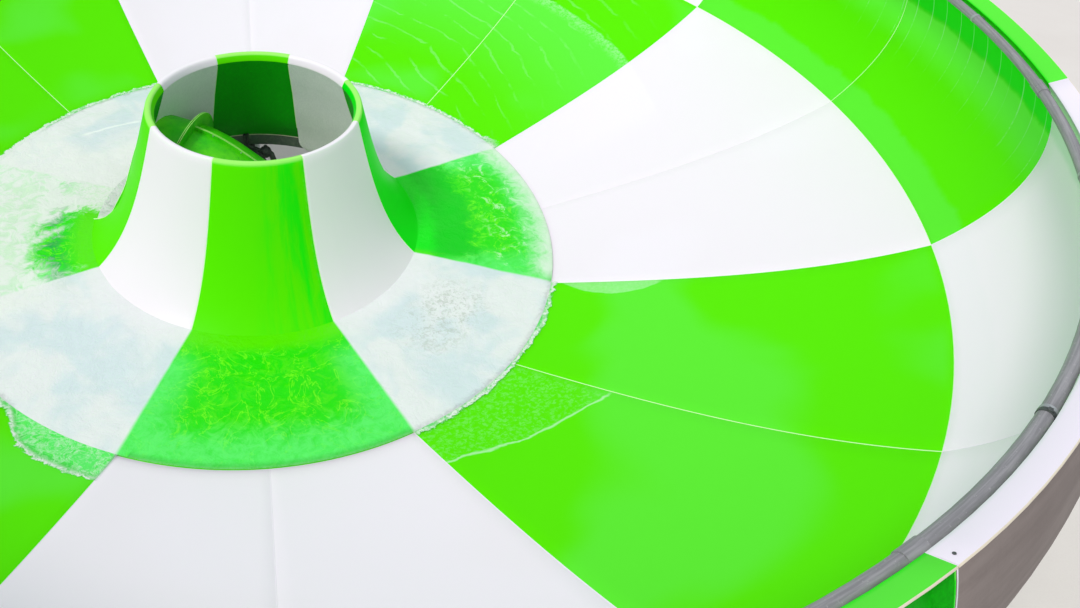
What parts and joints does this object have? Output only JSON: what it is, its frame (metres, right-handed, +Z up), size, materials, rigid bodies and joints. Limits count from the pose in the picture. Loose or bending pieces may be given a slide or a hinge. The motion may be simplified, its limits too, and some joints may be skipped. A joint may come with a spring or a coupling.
{
  "type": "water slide bowl",
  "caption": "Dished round water slide bowl with chequered panels, a hollow flared centre cone, a spray pipe round its rim, an entry flume, a steel frame and an exit tube.",
  "frame": {"origin": "on the bowl's axis at ground level, at the middle of the box's bottom face", "axes": "+Z up along the bowl's axis; -Y towards the side the picture was taken from; +X to its right"},
  "size_m": [14.1306, 14.1306, 6.4363],
  "materials": {
    "green_grp": "glossy gel coat on glass fibre, wet, saturated lime green",
    "white_grp": "glossy gel coat on glass fibre, wet, cool white; raw grey laminate on the back",
    "grey_pipe": "grey plastic pressure pipe, weathered",
    "galvanised_steel": "hot-dip galvanised steel, dull spangle"
  },
  "bodies": {
    "root": {"cone_panel_east": "green_grp", "floor_panel_east": "white_grp", "wall_panel_east": "green_grp", "cone_panel_north_east": "white_grp", "floor_panel_north_east": "green_grp", "wall_panel_north_east": "white_grp", "cone_panel_north": "green_grp", "floor_panel_north": "white_grp", "wall_panel_north": "green_grp", "cone_panel_north_west": "white_grp", "floor_panel_north_west": "green_grp", "wall_panel_north_west": "white_grp", "cone_panel_west": "green_grp", "floor_panel_west": "white_grp", "wall_panel_west": "green_grp", "cone_panel_south_west": "white_grp", "floor_panel_south_west": "green_grp", "wall_panel_south_west": "white_grp", "cone_panel_south": "green_grp", "floor_panel_south": "white_grp", "wall_panel_south": "green_grp", "cone_panel_south_east": "white_grp", "floor_panel_south_east": "green_grp", "wall_panel_south_east": "white_grp", "exit_portal": "green_grp", "exit_drop_left": "green_grp", "exit_drop_right": "green_grp", "exit_sweep_left": "green_grp", "exit_sweep_right": "green_grp", "exit_bend_left": "green_grp", "exit_bend_right": "green_grp", "exit_runout_left": "green_grp", "exit_runout_right": "green_grp", "entry_flume": "green_grp", "spray_pipe_south_west": "grey_pipe", "spray_pipe_south_east": "grey_pipe", "spray_pipe_north_east": "grey_pipe", "spray_pipe_north_west": "grey_pipe", "feed_riser": "grey_pipe", "cone_feed_pipe": "grey_pipe", "exit_saddle_inner": "galvanised_steel", "exit_saddle_outer": "galvanised_steel", "entry_flume_support": "galvanised_steel", "cone_ring_frame": "galvanised_steel", "knee_ring_pipe": "galvanised_steel", "foot_ring_pipe": "galvanised_steel", "support_frame_east": "galvanised_steel", "support_frame_north_east": "galvanised_steel", "support_frame_north": "galvanised_steel", "support_frame_north_west": "galvanised_steel", "support_frame_west": "galvanised_steel", "support_frame_south_west": "galvanised_steel", "support_frame_south": "galvanised_steel", "support_frame_south_east": "galvanised_steel"}
  },
  "joints": []
}
